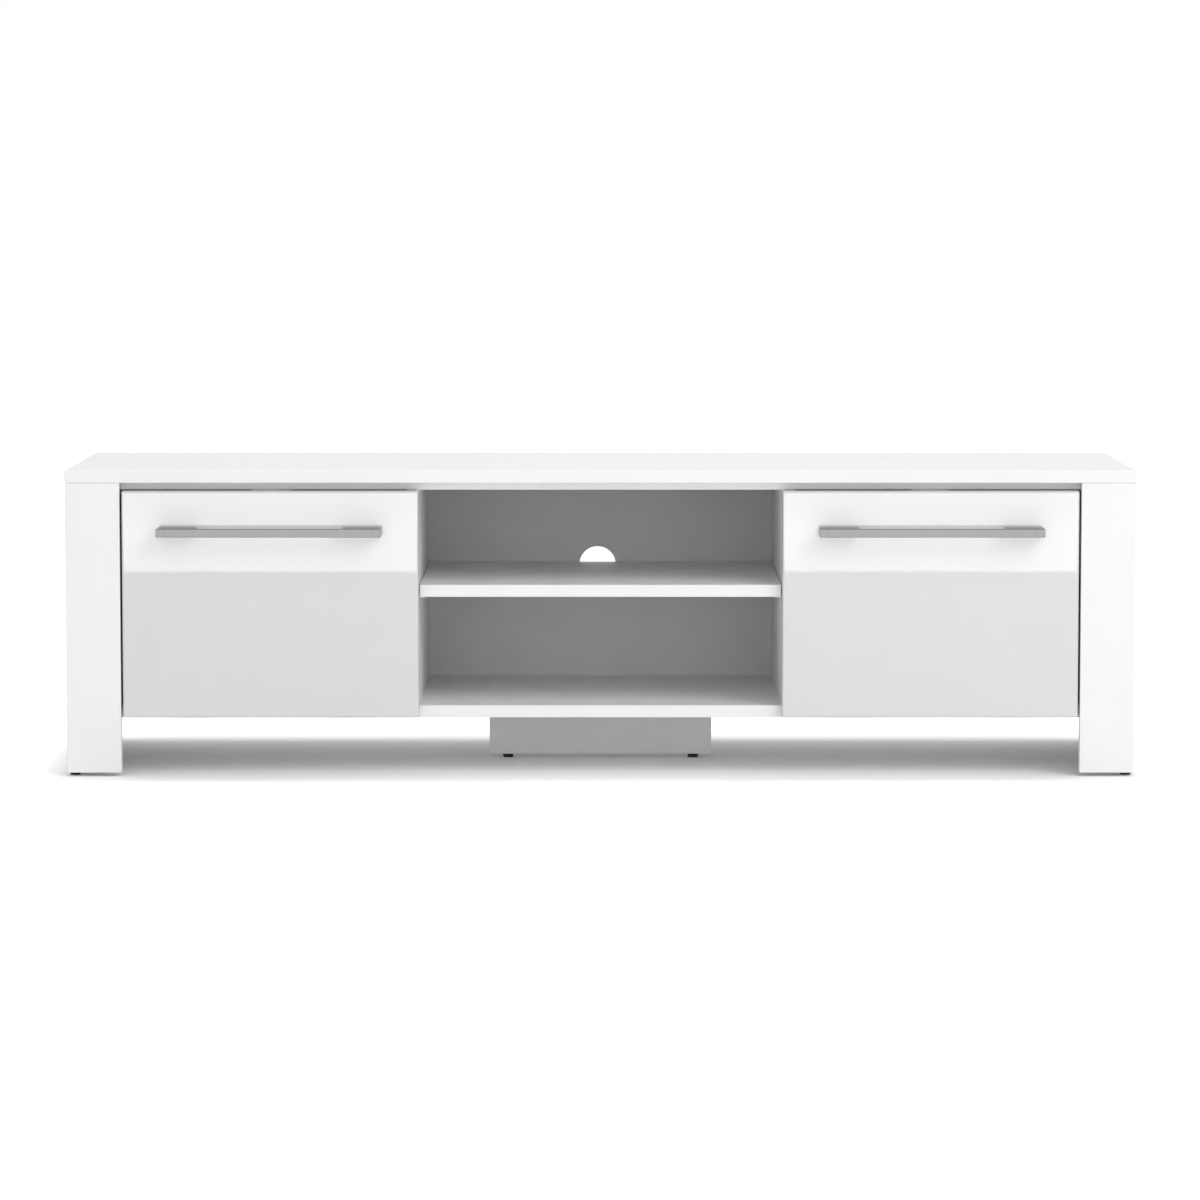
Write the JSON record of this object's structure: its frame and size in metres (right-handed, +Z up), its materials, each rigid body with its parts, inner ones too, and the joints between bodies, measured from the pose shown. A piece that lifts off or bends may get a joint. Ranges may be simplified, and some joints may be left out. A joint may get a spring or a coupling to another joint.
{
  "type": "tv stand with doors",
  "caption": "Low white television stand with gloss drop-down doors, bar handles, an open middle niche with a shelf, and a cable hole in its back.",
  "frame": {"origin": "centre of the floor area under the whole object, handles included", "axes": "+X to the right along the longest side, +Y to the back, +Z up; the doors face -Y"},
  "size_m": [1.4, 0.433, 0.402],
  "materials": {
    "white_melamine": "satin",
    "gloss_white_front": "gloss",
    "back_hardboard": "matte",
    "handle_aluminium": "satin",
    "zinc_steel": "satin",
    "nickel_hinge": "satin",
    "cam_zinc": "cast",
    "black_plastic": "matte",
    "white_plastic": "satin",
    "magnet_ferrite": "matte",
    "beech_dowel": "matte"
  },
  "bodies": {
    "cabinet": {"back_panel": "back_hardboard", "back_panel_nails": "zinc_steel", "bottom_panel": "white_melamine", "cam_bolts": "zinc_steel", "cam_locks": "cam_zinc", "catch_housings": "white_plastic", "catch_magnets": "magnet_ferrite", "catch_screws": "zinc_steel", "centre_shelf": "white_melamine", "centre_support": "white_melamine", "divider_screws": "zinc_steel", "dowels": "beech_dowel", "hinge_fixed_screws": "zinc_steel", "inner_top": "white_melamine", "left_divider": "white_melamine", "left_hinge_fixed_leaves": "nickel_hinge", "left_hinge_pins": "nickel_hinge", "left_leg_board": "white_melamine", "left_side_glides": "black_plastic", "left_side_panel": "white_melamine", "left_stay_stud": "zinc_steel", "leg_bracket_screws": "zinc_steel", "leg_brackets": "zinc_steel", "right_divider": "white_melamine", "right_hinge_fixed_leaves": "nickel_hinge", "right_hinge_pins": "nickel_hinge", "right_leg_board": "white_melamine", "right_side_glides": "black_plastic", "right_side_panel": "white_melamine", "right_stay_stud": "zinc_steel", "shelf_pins": "zinc_steel", "support_bracket_screws": "zinc_steel", "support_brackets": "zinc_steel", "support_glides": "black_plastic", "table_top": "white_melamine", "top_screws": "zinc_steel"},
    "left_flap": {"left_door_panel": "gloss_white_front", "left_flap_screws": "zinc_steel", "left_handle_bar": "handle_aluminium", "left_handle_feet": "handle_aluminium", "left_handle_screws": "zinc_steel", "left_hinge_door_leaves": "nickel_hinge", "left_stay_bracket": "zinc_steel", "left_stay_rivet": "zinc_steel", "left_strike_plate": "zinc_steel"},
    "right_flap": {"right_door_panel": "gloss_white_front", "right_flap_screws": "zinc_steel", "right_handle_bar": "handle_aluminium", "right_handle_feet": "handle_aluminium", "right_handle_screws": "zinc_steel", "right_hinge_door_leaves": "nickel_hinge", "right_stay_bracket": "zinc_steel", "right_stay_rivet": "zinc_steel", "right_strike_plate": "zinc_steel"},
    "left_stay": {"left_stay_arm": "zinc_steel"},
    "right_stay": {"right_stay_arm": "zinc_steel"}
  },
  "joints": [
    {"name": "left_door_hinge", "type": "hinge", "parent": "cabinet", "child": "left_flap", "pos_m": [-0.432, -0.1673, 0.0783], "axis": [1, 0, 0], "range_deg": [0, 90]},
    {"name": "left_stay_pivot", "type": "hinge", "parent": "left_flap", "child": "left_stay", "pos_m": [-0.258, -0.1543, 0.19759], "axis": [1, 0, 0], "range_deg": [-45, 0]},
    {"name": "right_door_hinge", "type": "hinge", "parent": "cabinet", "child": "right_flap", "pos_m": [0.432, -0.1673, 0.0783], "axis": [1, 0, 0], "range_deg": [0, 90]},
    {"name": "right_stay_pivot", "type": "hinge", "parent": "right_flap", "child": "right_stay", "pos_m": [0.258, -0.1543, 0.19759], "axis": [1, 0, 0], "range_deg": [-45, 0]}
  ],
  "couplings": [
    {"joint": "left_stay_pivot", "follows": "left_door_hinge", "ratio": -0.5},
    {"joint": "right_stay_pivot", "follows": "right_door_hinge", "ratio": -0.5}
  ]
}
